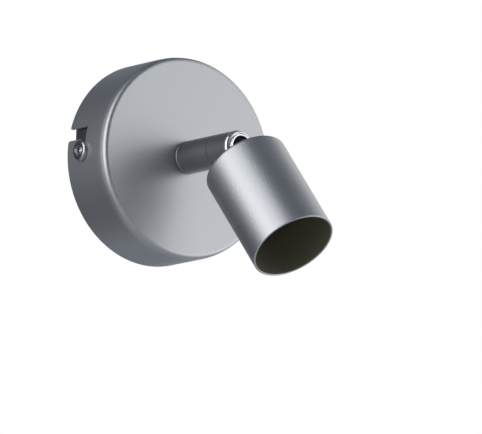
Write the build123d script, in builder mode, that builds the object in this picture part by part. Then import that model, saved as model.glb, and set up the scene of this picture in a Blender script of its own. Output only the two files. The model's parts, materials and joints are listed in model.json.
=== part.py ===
"""Pivoting spotlight wall light: a round canopy on a wall bracket, a two-part stem and a small lamp head.

Millimetres. +Z is up, the wall is the plane y = 0, and the light stands out of the wall towards -Y.
The origin is the middle of the wall bracket, on the wall.
"""

from build123d import *
from math import acos, asin, cos, radians, sin, sqrt
import os

os.makedirs("parts", exist_ok=True)

# ---------------------------------------------------------------- driving dimensions
CANOPY_R = 40.0  # the canopy is 80 mm across
CANOPY_DEPTH = 25.0
CANOPY_EDGE_R = 2.8  # the drawn rounding of its front edge
CANOPY_WALL = 0.9

STEM_R = 6.5  # both stem sections are 13 mm across
SEAM_DEPTH = 45.7  # wall to the seam between the stem sections
RIM_DEPTH = 59.5  # wall to the rim of the joint cap
JOINT_DEPTH = 56.4  # wall to the centre of the ball
BALL_R = 5.1
DOME_R = 6.0  # outside of the cap's dome round the ball
DOME_HOLE_R = 3.9

HEAD_R = 16.9
HEAD_LENGTH = 43.6
HEAD_WALL = 0.8
HEAD_REAR = 8.8  # ball centre to the outside of the head's closed end
HEAD_TILT = 53.6  # degrees down from straight out, as the light is stored
HEAD_PAN = 8.6  # degrees that the head is turned towards +X, as the light is stored

SCREW_DEPTH = 9.6  # wall to the axis of the canopy screws
WALL_SLOT_SPACING = 56.0

RUNNING_GAP = 0.05  # radial room of a part that turns in another
LEAD_R = 0.85
EARTH_LEAD_R = 1.1

# ---------------------------------------------------------------- frames
# FRONT looks at the wall: its x is +X, its y is +Z and its z runs out of the wall.
FRONT = Plane.XZ
STEM_AXIS = Axis.Y
# Sections of parts that are turned about the stem axis: x is the radius, and the depth is -y.
STEM_SECTION = Plane.XY

JOINT_CENTRE = Vector(0, -JOINT_DEPTH, 0)
TILT_AXIS = Vector(cos(radians(HEAD_PAN)), 0, sin(radians(HEAD_PAN)))
SWIVEL_DOWN = Vector(sin(radians(HEAD_PAN)), 0, -cos(radians(HEAD_PAN)))
HEAD_AXIS = Vector(0, -cos(radians(HEAD_TILT)), 0) + SWIVEL_DOWN * sin(radians(HEAD_TILT))
HEAD_SIDE = TILT_AXIS.cross(HEAD_AXIS)

# SWIVEL is the stem's upper section: x along the tilt axis, y away from the slot, z out of the wall.
SWIVEL = Plane(JOINT_CENTRE, x_dir=TILT_AXIS, z_dir=Vector(0, -1, 0))
# HEAD has its origin at the ball's centre: x along the tilt axis, z out of the head's mouth.
HEAD = Plane(JOINT_CENTRE, x_dir=TILT_AXIS, z_dir=HEAD_AXIS)
HEAD_TURN = Axis(JOINT_CENTRE, HEAD_AXIS)
# Sections of parts that are turned about the head axis: x is the radius, y runs out of the mouth.
HEAD_SECTION = Plane(JOINT_CENTRE, x_dir=TILT_AXIS, z_dir=HEAD_SIDE)

# ---------------------------------------------------------------- canopy
# Drawn from sheet steel. Each side has a J-shaped slot: it slides in over its screw, then turns down on it.
STEM_HOLE_R = 5.1
SLOT_MOUTH_LOW = 4.8
SLOT_MOUTH_HIGH = 9.5
SLOT_HALF = 2.1
SLOT_MOUTH_DEPTH = SCREW_DEPTH + SLOT_HALF  # the slot's deep edge is one straight line
SLOT_LIP_R = 1.1
CANOPY_SIDES = (-1, 1)

with BuildPart() as canopy:
    with BuildSketch(STEM_SECTION) as canopy_section:
        with BuildLine():
            Polyline(
                (STEM_HOLE_R, -CANOPY_DEPTH),
                (CANOPY_R, -CANOPY_DEPTH),
                (CANOPY_R, 0),
                (CANOPY_R - CANOPY_WALL, 0),
                (CANOPY_R - CANOPY_WALL, -CANOPY_DEPTH + CANOPY_WALL),
                (STEM_HOLE_R, -CANOPY_DEPTH + CANOPY_WALL),
                close=True,
            )
        make_face()
        corners = canopy_section.vertices()
        outer_corner = corners.sort_by_distance((CANOPY_R, -CANOPY_DEPTH))[0]
        fillet(outer_corner, CANOPY_EDGE_R)
        corners = canopy_section.vertices()
        inner_corner = corners.sort_by_distance((CANOPY_R - CANOPY_WALL, -CANOPY_DEPTH + CANOPY_WALL))[0]
        fillet(inner_corner, CANOPY_EDGE_R - CANOPY_WALL)
    revolve(axis=STEM_AXIS)
    for side in CANOPY_SIDES:
        side_plane = Plane((side * (CANOPY_R - 4), 0, 0), x_dir=(0, -1, 0), z_dir=(side, 0, 0))
        with BuildSketch(side_plane) as slot:
            mouth_height = SLOT_MOUTH_HIGH - SLOT_MOUTH_LOW
            with Locations((SLOT_MOUTH_DEPTH / 2 - 0.5, SLOT_MOUTH_LOW + mouth_height / 2)):
                Rectangle(SLOT_MOUTH_DEPTH + 1, mouth_height)
            with Locations((SCREW_DEPTH, SLOT_MOUTH_LOW / 2 + 0.4)):
                Rectangle(2 * SLOT_HALF, SLOT_MOUTH_LOW + 0.8)
            with Locations((SCREW_DEPTH, 0)):
                Circle(SLOT_HALF)
        extrude(amount=6, mode=Mode.SUBTRACT)
    lip_edges = (
        canopy.edges()
        .filter_by(Axis.X)
        .filter_by(lambda edge: abs(edge.center().Y) < 0.1)
    )
    fillet(lip_edges, SLOT_LIP_R)
canopy.part.label = "canopy"
export_step(canopy.part, "parts/canopy.step")

# ---------------------------------------------------------------- wall bracket
# A steel strip with both ends bent out into ears, which carry the canopy screws in burred holes.
STRIP_THICK = 1.5
STRIP_HALF_WIDTH = 10.2
EAR_OUTSIDE = 37.1
EAR_DEPTH = 16.0
EAR_CORNER_R = 2.5
BEND_R = 1.9
CABLE_HOLE_R = 6.0
WALL_SLOT_R = 2.25
WALL_SLOT_LENGTH = 9.0
SCREW_R = 2.0
SCREW_HOLE_R = SCREW_R + RUNNING_GAP
BURR_R = 3.1
BURR_HEIGHT = 1.2
EARTH_SCREW_X = -15.0
BLOCK_SCREW_X = 15.0
BLOCK_HOLE_R = 1.55

with BuildPart() as wall_bracket:
    with BuildSketch(Plane.XY.offset(-STRIP_HALF_WIDTH)) as strip_section:
        with BuildLine():
            Polyline(
                (-EAR_OUTSIDE, -EAR_DEPTH),
                (-EAR_OUTSIDE, 0),
                (EAR_OUTSIDE, 0),
                (EAR_OUTSIDE, -EAR_DEPTH),
                (EAR_OUTSIDE - STRIP_THICK, -EAR_DEPTH),
                (EAR_OUTSIDE - STRIP_THICK, -STRIP_THICK),
                (-EAR_OUTSIDE + STRIP_THICK, -STRIP_THICK),
                (-EAR_OUTSIDE + STRIP_THICK, -EAR_DEPTH),
                close=True,
            )
        make_face()
        bends = strip_section.vertices().filter_by(lambda v: abs(v.Y) < 0.01)
        fillet(bends, BEND_R)
        inner_bends = strip_section.vertices().filter_by(
            lambda v: abs(v.Y + STRIP_THICK) < 0.01 and abs(v.X) < EAR_OUTSIDE - 1
        )
        fillet(inner_bends, BEND_R - STRIP_THICK + 0.2)
    extrude(amount=2 * STRIP_HALF_WIDTH)
    ear_corners = (
        wall_bracket.edges()
        .filter_by(Axis.X)
        .filter_by(lambda edge: edge.center().Y < -EAR_DEPTH + 0.1)
    )
    fillet(ear_corners, EAR_CORNER_R)
    for side in CANOPY_SIDES:
        inner_face = Plane((side * (EAR_OUTSIDE - STRIP_THICK), -SCREW_DEPTH, 0), z_dir=(-side, 0, 0))
        with BuildSketch(inner_face):
            Circle(BURR_R)
        extrude(amount=BURR_HEIGHT)
        with BuildSketch(inner_face.offset(BURR_HEIGHT)):
            Circle(SCREW_HOLE_R)
        extrude(amount=-BURR_HEIGHT - STRIP_THICK, mode=Mode.SUBTRACT)
    with BuildSketch(FRONT):
        Circle(CABLE_HOLE_R)
        with GridLocations(WALL_SLOT_SPACING, 0, 2, 1):
            SlotOverall(WALL_SLOT_LENGTH, 2 * WALL_SLOT_R)
        with Locations((EARTH_SCREW_X, 0)):
            Circle(SCREW_HOLE_R)
        with Locations((BLOCK_SCREW_X, 0)):
            Circle(BLOCK_HOLE_R)
    extrude(amount=STRIP_THICK, mode=Mode.SUBTRACT)
wall_bracket.part.label = "wall_bracket"
export_step(wall_bracket.part, "parts/wall_bracket.step")

# ---------------------------------------------------------------- canopy screws
# Two M4 pan-head screws with a dished cross recess. Their heads hold the canopy against the ears.
PAN_HEAD_R = 4.15
PAN_HEAD_HEIGHT = 1.7
PAN_HEAD_ROUND = 1.1
DISH_R = 2.5
DISH_DEEP = 0.7
CROSS_ARM = 1.8
CROSS_WIDE = 0.85
SCREW_LENGTH = 9.0

with BuildPart() as canopy_screws:
    for side in CANOPY_SIDES:
        seat = Plane((side * CANOPY_R, -SCREW_DEPTH, 0), z_dir=(side, 0, 0))
        with BuildSketch(seat):
            Circle(PAN_HEAD_R)
        extrude(amount=PAN_HEAD_HEIGHT)
        head_top = canopy_screws.faces().sort_by(Axis.X)[-1 if side > 0 else 0]
        fillet(head_top.edges(), PAN_HEAD_ROUND)
        with BuildSketch(seat.offset(PAN_HEAD_HEIGHT)):
            Circle(DISH_R)
        extrude(amount=-DISH_DEEP, taper=20, mode=Mode.SUBTRACT)
        with BuildSketch(seat.offset(PAN_HEAD_HEIGHT)):
            Rectangle(2 * CROSS_ARM, CROSS_WIDE)
            Rectangle(CROSS_WIDE, 2 * CROSS_ARM)
        extrude(amount=-PAN_HEAD_HEIGHT, taper=6, mode=Mode.SUBTRACT)
        with BuildSketch(seat):
            Circle(SCREW_R)
        extrude(amount=-SCREW_LENGTH)
canopy_screws.part.label = "canopy_screws"
export_step(canopy_screws.part, "parts/canopy_screws.step")

# ---------------------------------------------------------------- lower stem
# A turned tube. Its threaded tail passes through the canopy, and its journal carries the swivel sleeve.
TAIL_R = 4.95
TAIL_DEPTH = 13.0
TAIL_BORE_R = 3.4
JOURNAL_R = 4.2
JOURNAL_BORE_R = 2.7
JOURNAL_DEPTH = 50.2
CLIP_GROOVE_DEPTH = 48.6
CLIP_THICK = 0.6
CLIP_GROOVE_R = 3.7
STEM_CHAMFER = 0.5

with BuildPart() as stem_body:
    with BuildSketch(STEM_SECTION):
        with BuildLine():
            Polyline(
                (TAIL_BORE_R, -TAIL_DEPTH),
                (TAIL_R - 0.5, -TAIL_DEPTH),
                (TAIL_R, -TAIL_DEPTH - 0.5),
                (TAIL_R, -CANOPY_DEPTH),
                (STEM_R - STEM_CHAMFER, -CANOPY_DEPTH),
                (STEM_R, -CANOPY_DEPTH - STEM_CHAMFER),
                (STEM_R, -SEAM_DEPTH + 0.2),
                (STEM_R - 0.2, -SEAM_DEPTH),
                (JOURNAL_R, -SEAM_DEPTH),
                (JOURNAL_R, -CLIP_GROOVE_DEPTH),
                (CLIP_GROOVE_R, -CLIP_GROOVE_DEPTH),
                (CLIP_GROOVE_R, -CLIP_GROOVE_DEPTH - CLIP_THICK),
                (JOURNAL_R, -CLIP_GROOVE_DEPTH - CLIP_THICK),
                (JOURNAL_R, -JOURNAL_DEPTH),
                (JOURNAL_BORE_R, -JOURNAL_DEPTH),
                (JOURNAL_BORE_R, -SEAM_DEPTH + 4),
                (TAIL_BORE_R, -SEAM_DEPTH + 5),
                close=True,
            )
        make_face()
    revolve(axis=STEM_AXIS)
stem_body.part.label = "stem_body"
export_step(stem_body.part, "parts/stem_body.step")

# ---------------------------------------------------------------- stem fixings
# Inside the canopy: a toothed washer, the earth tag and a thin hexagon nut on the threaded tail.
CANOPY_INSIDE = CANOPY_DEPTH - CANOPY_WALL
WASHER_THICK = 0.8
WASHER_R = 7.2
EARTH_TAG_THICK = 0.6
EARTH_TAG_R = 7.4
EARTH_TAG_WIDE = 4.5
STEM_NUT_HEIGHT = 3.5
STEM_NUT_ACROSS = 14.0
NUT_BORE_R = TAIL_R + RUNNING_GAP
TAG_OUT = 15.0

with BuildPart() as stem_lock_washer:
    with BuildSketch(FRONT.offset(CANOPY_INSIDE - WASHER_THICK)):
        Circle(WASHER_R)
        with PolarLocations(WASHER_R + 0.4, 12):
            Rectangle(2.4, 1.1)
        Circle(NUT_BORE_R, mode=Mode.SUBTRACT)
    extrude(amount=WASHER_THICK)
stem_lock_washer.part.label = "stem_lock_washer"
export_step(stem_lock_washer.part, "parts/stem_lock_washer.step")

with BuildPart() as earth_tag:
    with BuildSketch(FRONT.offset(CANOPY_INSIDE - WASHER_THICK - EARTH_TAG_THICK)):
        Circle(EARTH_TAG_R)
        with Locations((-TAG_OUT / 2, 0)):
            Rectangle(TAG_OUT, EARTH_TAG_WIDE)
        Circle(NUT_BORE_R, mode=Mode.SUBTRACT)
    extrude(amount=EARTH_TAG_THICK)
earth_tag.part.label = "earth_tag"
export_step(earth_tag.part, "parts/earth_tag.step")

STEM_NUT_TOP = CANOPY_INSIDE - WASHER_THICK - EARTH_TAG_THICK
with BuildPart() as stem_nut:
    with BuildSketch(FRONT.offset(STEM_NUT_TOP - STEM_NUT_HEIGHT)):
        RegularPolygon(STEM_NUT_ACROSS / 2, 6, major_radius=False)
        Circle(NUT_BORE_R, mode=Mode.SUBTRACT)
    extrude(amount=STEM_NUT_HEIGHT)
    with BuildSketch(STEM_SECTION) as nut_cone:
        with BuildLine():
            Polyline(
                (NUT_BORE_R - 1, -STEM_NUT_TOP + STEM_NUT_HEIGHT),
                (STEM_NUT_ACROSS / 2, -STEM_NUT_TOP + STEM_NUT_HEIGHT),
                (STEM_NUT_ACROSS / 2 + 2.0, -STEM_NUT_TOP + STEM_NUT_HEIGHT - 1.1),
                (STEM_NUT_ACROSS / 2 + 2.0, -STEM_NUT_TOP - 0.1),
                (NUT_BORE_R - 1, -STEM_NUT_TOP - 0.1),
                close=True,
            )
        make_face()
    revolve(axis=STEM_AXIS, mode=Mode.INTERSECT)
stem_nut.part.label = "stem_nut"
export_step(stem_nut.part, "parts/stem_nut.step")

# A flanged plastic bush keeps the leads off the thread's sharp end.
BUSH_BORE_R = 2.6
BUSH_FLANGE_R = 4.6
BUSH_LENGTH = 5.0
with BuildPart() as wire_bush:
    with BuildSketch(STEM_SECTION):
        with BuildLine():
            Polyline(
                (BUSH_BORE_R, -TAIL_DEPTH + 1.0),
                (BUSH_FLANGE_R, -TAIL_DEPTH + 1.0),
                (BUSH_FLANGE_R, -TAIL_DEPTH),
                (TAIL_BORE_R, -TAIL_DEPTH),
                (TAIL_BORE_R, -TAIL_DEPTH - BUSH_LENGTH),
                (BUSH_BORE_R, -TAIL_DEPTH - BUSH_LENGTH),
                close=True,
            )
        make_face()
    revolve(axis=STEM_AXIS)
wire_bush.part.label = "wire_bush"
export_step(wire_bush.part, "parts/wire_bush.step")

# ---------------------------------------------------------------- terminal block
# Two poles side by side on the bracket, each a brass tube with two clamp screws from the front.
BLOCK_LENGTH = 15.0
BLOCK_HEIGHT = 10.5
POLE_PITCH = 10.0
POLE_BARREL_R = 3.6
CLAMP_TUBE_R = 2.2
CLAMP_BORE_R = 1.4
CLAMP_AXIS_DEPTH = STRIP_THICK + 4.2
CLAMP_SCREW_R = 1.4
CLAMP_SCREW_LENGTH = 4.0
SCREW_TOWER_R = 2.6
CLAMP_SCREW_PITCH = 7.0
BLOCK_WEB_TOP = STRIP_THICK + 3.0
BLOCK_SCREW_R = 1.5
BLOCK_SCREW_HEAD_R = 2.3
BLOCK_SCREW_HEAD_HEIGHT = 1.6
POLE_HEIGHTS = (-POLE_PITCH / 2, POLE_PITCH / 2)
BLOCK_FACE = Plane((BLOCK_SCREW_X - BLOCK_LENGTH / 2, 0, 0), x_dir=(0, -1, 0), z_dir=(1, 0, 0))

with BuildPart() as terminal_block:
    with BuildSketch(BLOCK_FACE) as block_end:
        with Locations((STRIP_THICK + 1.5, 0)):
            Rectangle(3.0, POLE_PITCH + POLE_BARREL_R)
        for height in POLE_HEIGHTS:
            with Locations((CLAMP_AXIS_DEPTH, height)):
                Circle(POLE_BARREL_R)
            with Locations(((STRIP_THICK + CLAMP_AXIS_DEPTH) / 2, height)):
                Rectangle(CLAMP_AXIS_DEPTH - STRIP_THICK, 2 * POLE_BARREL_R)
    extrude(amount=BLOCK_LENGTH)
    with BuildSketch(FRONT.offset(CLAMP_AXIS_DEPTH)):
        with Locations((BLOCK_SCREW_X, 0)):
            with GridLocations(CLAMP_SCREW_PITCH, POLE_PITCH, 2, 2):
                Circle(SCREW_TOWER_R)
    extrude(amount=BLOCK_HEIGHT - CLAMP_AXIS_DEPTH + STRIP_THICK)
    with BuildSketch(BLOCK_FACE):
        for height in POLE_HEIGHTS:
            with Locations((CLAMP_AXIS_DEPTH, height)):
                Circle(CLAMP_TUBE_R + 0.02)
    extrude(amount=BLOCK_LENGTH, mode=Mode.SUBTRACT)
    with BuildSketch(FRONT.offset(CLAMP_AXIS_DEPTH)):
        with Locations((BLOCK_SCREW_X, 0)):
            with GridLocations(CLAMP_SCREW_PITCH, POLE_PITCH, 2, 2):
                Circle(CLAMP_SCREW_R + 0.2)
    extrude(amount=BLOCK_HEIGHT, mode=Mode.SUBTRACT)
    with BuildSketch(FRONT):
        with Locations((BLOCK_SCREW_X, 0)):
            Circle(BLOCK_SCREW_R + 0.1)
    extrude(amount=BLOCK_WEB_TOP, mode=Mode.SUBTRACT)
    with BuildSketch(FRONT.offset(BLOCK_WEB_TOP)):
        with Locations((BLOCK_SCREW_X, 0)):
            Circle(BLOCK_SCREW_HEAD_R + 0.1)
    extrude(amount=BLOCK_HEIGHT, mode=Mode.SUBTRACT)
terminal_block.part.label = "terminal_block"
export_step(terminal_block.part, "parts/terminal_block.step")

with BuildPart() as terminal_clamps:
    with BuildSketch(BLOCK_FACE.offset(1.0)):
        for height in POLE_HEIGHTS:
            with Locations((CLAMP_AXIS_DEPTH, height)):
                Circle(CLAMP_TUBE_R)
                Circle(CLAMP_BORE_R, mode=Mode.SUBTRACT)
    extrude(amount=BLOCK_LENGTH - 2)
    with BuildSketch(FRONT.offset(CLAMP_AXIS_DEPTH)):
        with Locations((BLOCK_SCREW_X, 0)):
            with GridLocations(CLAMP_SCREW_PITCH, POLE_PITCH, 2, 2):
                Circle(CLAMP_SCREW_R + RUNNING_GAP)
    extrude(amount=CLAMP_TUBE_R + 1, mode=Mode.SUBTRACT)
terminal_clamps.part.label = "terminal_clamps"
export_step(terminal_clamps.part, "parts/terminal_clamps.step")

with BuildPart() as terminal_screws:
    with BuildSketch(FRONT.offset(CLAMP_AXIS_DEPTH + 0.9)):
        with Locations((BLOCK_SCREW_X, 0)):
            with GridLocations(CLAMP_SCREW_PITCH, POLE_PITCH, 2, 2):
                Circle(CLAMP_SCREW_R)
    extrude(amount=CLAMP_SCREW_LENGTH)
    with BuildSketch(FRONT.offset(CLAMP_AXIS_DEPTH + 0.9 + CLAMP_SCREW_LENGTH)):
        with Locations((BLOCK_SCREW_X, 0)):
            with GridLocations(CLAMP_SCREW_PITCH, POLE_PITCH, 2, 2):
                Rectangle(3.0, 0.5)
    extrude(amount=-0.8, mode=Mode.SUBTRACT)
terminal_screws.part.label = "terminal_screws"
export_step(terminal_screws.part, "parts/terminal_screws.step")

# A slotted M3 screw, sunk between the poles, fixes the block to the bracket.
with BuildPart() as block_screw:
    with BuildSketch(FRONT.offset(BLOCK_WEB_TOP)):
        with Locations((BLOCK_SCREW_X, 0)):
            Circle(BLOCK_SCREW_HEAD_R)
    extrude(amount=BLOCK_SCREW_HEAD_HEIGHT)
    with BuildSketch(FRONT.offset(BLOCK_WEB_TOP + BLOCK_SCREW_HEAD_HEIGHT)):
        with Locations((BLOCK_SCREW_X, 0)):
            Rectangle(5, 0.6)
    extrude(amount=-0.8, mode=Mode.SUBTRACT)
    with BuildSketch(FRONT.offset(BLOCK_WEB_TOP)):
        with Locations((BLOCK_SCREW_X, 0)):
            Circle(BLOCK_SCREW_R)
    extrude(amount=-BLOCK_WEB_TOP + 0.2)
block_screw.part.label = "block_screw"
export_step(block_screw.part, "parts/block_screw.step")

# ---------------------------------------------------------------- earth terminal
# An M4 screw with a square saddle washer on the bracket.
EARTH_WASHER_HALF = 4.0
EARTH_WASHER_THICK = 1.0

with BuildPart() as earth_washer:
    with BuildSketch(FRONT.offset(STRIP_THICK)):
        with Locations((EARTH_SCREW_X, 0)):
            RectangleRounded(2 * EARTH_WASHER_HALF, 2 * EARTH_WASHER_HALF, 1)
            Circle(SCREW_HOLE_R, mode=Mode.SUBTRACT)
    extrude(amount=EARTH_WASHER_THICK)
earth_washer.part.label = "earth_washer"
export_step(earth_washer.part, "parts/earth_washer.step")

EARTH_HEAD_SEAT = STRIP_THICK + EARTH_WASHER_THICK
EARTH_HEAD_R = 3.6
EARTH_HEAD_HEIGHT = 2.2
with BuildPart() as earth_screw:
    with BuildSketch(FRONT.offset(EARTH_HEAD_SEAT)):
        with Locations((EARTH_SCREW_X, 0)):
            Circle(EARTH_HEAD_R)
    extrude(amount=EARTH_HEAD_HEIGHT)
    fillet(earth_screw.faces().sort_by(Axis.Y)[0].edges(), 0.8)
    with BuildSketch(FRONT.offset(EARTH_HEAD_SEAT + EARTH_HEAD_HEIGHT)):
        with Locations((EARTH_SCREW_X, 0)):
            Rectangle(3.2, 0.8)
            Rectangle(0.8, 3.2)
    extrude(amount=-1.2, mode=Mode.SUBTRACT)
    with BuildSketch(FRONT.offset(EARTH_HEAD_SEAT)):
        with Locations((EARTH_SCREW_X, 0)):
            Circle(SCREW_R)
    extrude(amount=-EARTH_HEAD_SEAT + 0.2)
earth_screw.part.label = "earth_screw"
export_step(earth_screw.part, "parts/earth_screw.step")

# ---------------------------------------------------------------- leads inside the canopy
# Two leads run from the terminal block into the stem, and an earth lead joins the tag to the bracket.
LEAD_TURN_R = 3.5
LEAD_SPREAD = 1.0  # half the spacing of the two leads in the stem
BLOCK_INNER_END = BLOCK_SCREW_X - BLOCK_LENGTH / 2

LEAD_IN_BLOCK = BLOCK_INNER_END + 4.5
LEAD_LEAVES_BLOCK = BLOCK_INNER_END - 2.0
LEAD_AT_STEM = CLAMP_AXIS_DEPTH + 2.8
LEAD_STEM_END = JOURNAL_DEPTH - 1.0

with BuildPart() as live_lead:
    with BuildLine() as live_route:
        FilletPolyline(
            (LEAD_IN_BLOCK, -CLAMP_AXIS_DEPTH, POLE_HEIGHTS[1]),
            (LEAD_LEAVES_BLOCK, -CLAMP_AXIS_DEPTH, POLE_HEIGHTS[1]),
            (0, -LEAD_AT_STEM, LEAD_SPREAD),
            (0, -LEAD_STEM_END, LEAD_SPREAD),
            radius=LEAD_TURN_R,
        )
    with BuildSketch(Plane(live_route.line @ 0, z_dir=live_route.line % 0)):
        Circle(LEAD_R)
    sweep(path=live_route.wires()[0])
live_lead.part.label = "live_lead"
export_step(live_lead.part, "parts/live_lead.step")

with BuildPart() as neutral_lead:
    with BuildLine() as neutral_route:
        FilletPolyline(
            (LEAD_IN_BLOCK, -CLAMP_AXIS_DEPTH, POLE_HEIGHTS[0]),
            (LEAD_LEAVES_BLOCK, -CLAMP_AXIS_DEPTH, POLE_HEIGHTS[0]),
            (0, -LEAD_AT_STEM, -LEAD_SPREAD),
            (0, -LEAD_STEM_END, -LEAD_SPREAD),
            radius=LEAD_TURN_R,
        )
    with BuildSketch(Plane(neutral_route.line @ 0, z_dir=neutral_route.line % 0)):
        Circle(LEAD_R)
    sweep(path=neutral_route.wires()[0])
neutral_lead.part.label = "neutral_lead"
export_step(neutral_lead.part, "parts/neutral_lead.step")

EARTH_LEAD_DEPTH = EARTH_HEAD_SEAT + EARTH_LEAD_R
with BuildPart() as earth_lead:
    with BuildLine() as earth_route:
        FilletPolyline(
            (EARTH_SCREW_X + 2, -EARTH_LEAD_DEPTH, -5.2),
            (EARTH_SCREW_X - 6, -EARTH_LEAD_DEPTH, -5.2),
            (EARTH_SCREW_X - 6, -STEM_NUT_TOP + EARTH_LEAD_R, -1.0),
            (-TAG_OUT + 3.5, -STEM_NUT_TOP + EARTH_LEAD_R, 0),
            radius=3.0,
        )
    with BuildSketch(Plane(earth_route.line @ 0, z_dir=earth_route.line % 0)):
        Circle(EARTH_LEAD_R)
    sweep(path=earth_route.wires()[0])
earth_lead.part.label = "earth_lead"
export_step(earth_lead.part, "parts/earth_lead.step")

# ---------------------------------------------------------------- swivel sleeve
# The stem's upper section turns on the journal. A slot on its lower side lets the neck swing down.
SEAM_GAP = 0.15
CAP_RING = 1.3  # length of the polished cap's ring that shows in front of the sleeve
SLEEVE_FRONT = RIM_DEPTH - CAP_RING
SLEEVE_FLOOR = 48.5
CLIP_POCKET_R = 5.1
SPRING_SHELF = 49.6
SLEEVE_BORE_R = 5.6
NECK_R = 2.9
NECK_SLOT_HALF = NECK_R + 0.3
NECK_SLOT_RUN = 8.0
# The slot is milled from below: x runs out of the wall, z runs down out of the sleeve.
NECK_SLOT = Plane(JOINT_CENTRE, x_dir=(0, -1, 0), z_dir=SWIVEL_DOWN)

with BuildPart() as swivel_sleeve:
    with BuildSketch(STEM_SECTION):
        with BuildLine():
            Polyline(
                (JOURNAL_R + RUNNING_GAP, -SEAM_DEPTH - SEAM_GAP),
                (STEM_R - 0.2, -SEAM_DEPTH - SEAM_GAP),
                (STEM_R, -SEAM_DEPTH - SEAM_GAP - 0.2),
                (STEM_R, -SLEEVE_FRONT),
                (SLEEVE_BORE_R, -SLEEVE_FRONT),
                (SLEEVE_BORE_R, -SPRING_SHELF),
                (CLIP_POCKET_R, -SPRING_SHELF),
                (CLIP_POCKET_R, -SLEEVE_FLOOR),
                (JOURNAL_R + RUNNING_GAP, -SLEEVE_FLOOR),
                close=True,
            )
        make_face()
    revolve(axis=STEM_AXIS)
    with BuildSketch(NECK_SLOT):
        Circle(NECK_SLOT_HALF)
        with Locations((NECK_SLOT_RUN / 2, 0)):
            Rectangle(NECK_SLOT_RUN, 2 * NECK_SLOT_HALF)
    extrude(amount=STEM_R + 1, mode=Mode.SUBTRACT)
swivel_sleeve.part.label = "swivel_sleeve"
export_step(swivel_sleeve.part, "parts/swivel_sleeve.step")

# ---------------------------------------------------------------- joint cap
# A polished, domed cap screwed into the sleeve. It holds the ball in, and its slot matches the sleeve's.
CAP_SPIGOT_DEPTH = JOINT_DEPTH + 0.4
SEAT_R = BALL_R + RUNNING_GAP
CAP_EDGE_R = 0.65
DOME_FOOT_R = sqrt(DOME_R**2 - (RIM_DEPTH - JOINT_DEPTH) ** 2)
DOME_HOLE_OUT = sqrt(DOME_R**2 - DOME_HOLE_R**2)
SEAT_HOLE_OUT = sqrt(SEAT_R**2 - DOME_HOLE_R**2)
SEAT_SPIGOT_R = sqrt(SEAT_R**2 - (CAP_SPIGOT_DEPTH - JOINT_DEPTH) ** 2)


def on_circle(radius, angle):
    """A point of the stem section on a circle round the ball's centre, at an angle from the stem axis."""
    return (radius * sin(angle), -JOINT_DEPTH - radius * cos(angle))


dome_foot_angle = asin(DOME_FOOT_R / DOME_R)
dome_hole_angle = asin(DOME_HOLE_R / DOME_R)
seat_hole_angle = asin(DOME_HOLE_R / SEAT_R)
seat_spigot_angle = asin(SEAT_SPIGOT_R / SEAT_R)

with BuildPart() as joint_cap:
    with BuildSketch(STEM_SECTION) as cap_section:
        with BuildLine():
            ThreePointArc(
                on_circle(DOME_R, dome_hole_angle),
                on_circle(DOME_R, (dome_hole_angle + dome_foot_angle) / 2),
                on_circle(DOME_R, dome_foot_angle),
            )
            Polyline(
                on_circle(DOME_R, dome_foot_angle),
                (DOME_FOOT_R + 0.1, -RIM_DEPTH + 0.45),
                (STEM_R - CAP_EDGE_R - 0.1, -RIM_DEPTH),
                (STEM_R, -RIM_DEPTH),
                (STEM_R, -SLEEVE_FRONT),
                (SLEEVE_BORE_R, -SLEEVE_FRONT),
                (SLEEVE_BORE_R, -CAP_SPIGOT_DEPTH),
                on_circle(SEAT_R, seat_spigot_angle),
            )
            ThreePointArc(
                on_circle(SEAT_R, seat_spigot_angle),
                on_circle(SEAT_R, (seat_spigot_angle + seat_hole_angle) / 2),
                on_circle(SEAT_R, seat_hole_angle),
            )
            Line(on_circle(SEAT_R, seat_hole_angle), on_circle(DOME_R, dome_hole_angle))
        make_face()
        cap_edge = cap_section.vertices().sort_by_distance((STEM_R, -RIM_DEPTH))[0]
        fillet(cap_edge, CAP_EDGE_R)
    revolve(axis=STEM_AXIS)
    with BuildSketch(NECK_SLOT):
        Circle(NECK_SLOT_HALF)
        with Locations((NECK_SLOT_RUN / 2, 0)):
            Rectangle(NECK_SLOT_RUN, 2 * NECK_SLOT_HALF)
    extrude(amount=STEM_R + 1, mode=Mode.SUBTRACT)
joint_cap.part.label = "joint_cap"
export_step(joint_cap.part, "parts/joint_cap.step")

# ---------------------------------------------------------------- inside the swivel
# A snap ring keeps the sleeve on the journal. A conical spring presses a plastic seat against the ball.
CLIP_OUTER_R = 5.0
with BuildPart() as pan_clip:
    with BuildSketch(FRONT.offset(CLIP_GROOVE_DEPTH + 0.02)):
        Circle(CLIP_OUTER_R)
        Circle(CLIP_GROOVE_R + 0.02, mode=Mode.SUBTRACT)
        with Locations((0, CLIP_OUTER_R)):
            Rectangle(2.4, 2 * CLIP_OUTER_R, mode=Mode.SUBTRACT)
    extrude(amount=CLIP_THICK - 0.04)
pan_clip.part.label = "pan_clip"
export_step(pan_clip.part, "parts/pan_clip.step")

SPRING_THICK = 0.35
SPRING_RISE = 1.0
SPRING_INNER_R = 4.35
SPRING_OUTER_R = 5.5
with BuildPart() as seat_spring:
    with BuildSketch(STEM_SECTION):
        with BuildLine():
            Polyline(
                (SPRING_OUTER_R, -SPRING_SHELF),
                (SPRING_INNER_R, -SPRING_SHELF - SPRING_RISE + SPRING_THICK),
                (SPRING_INNER_R, -SPRING_SHELF - SPRING_RISE),
                (SPRING_OUTER_R, -SPRING_SHELF - SPRING_THICK),
                close=True,
            )
        make_face()
    revolve(axis=STEM_AXIS)
seat_spring.part.label = "seat_spring"
export_step(seat_spring.part, "parts/seat_spring.step")

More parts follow.
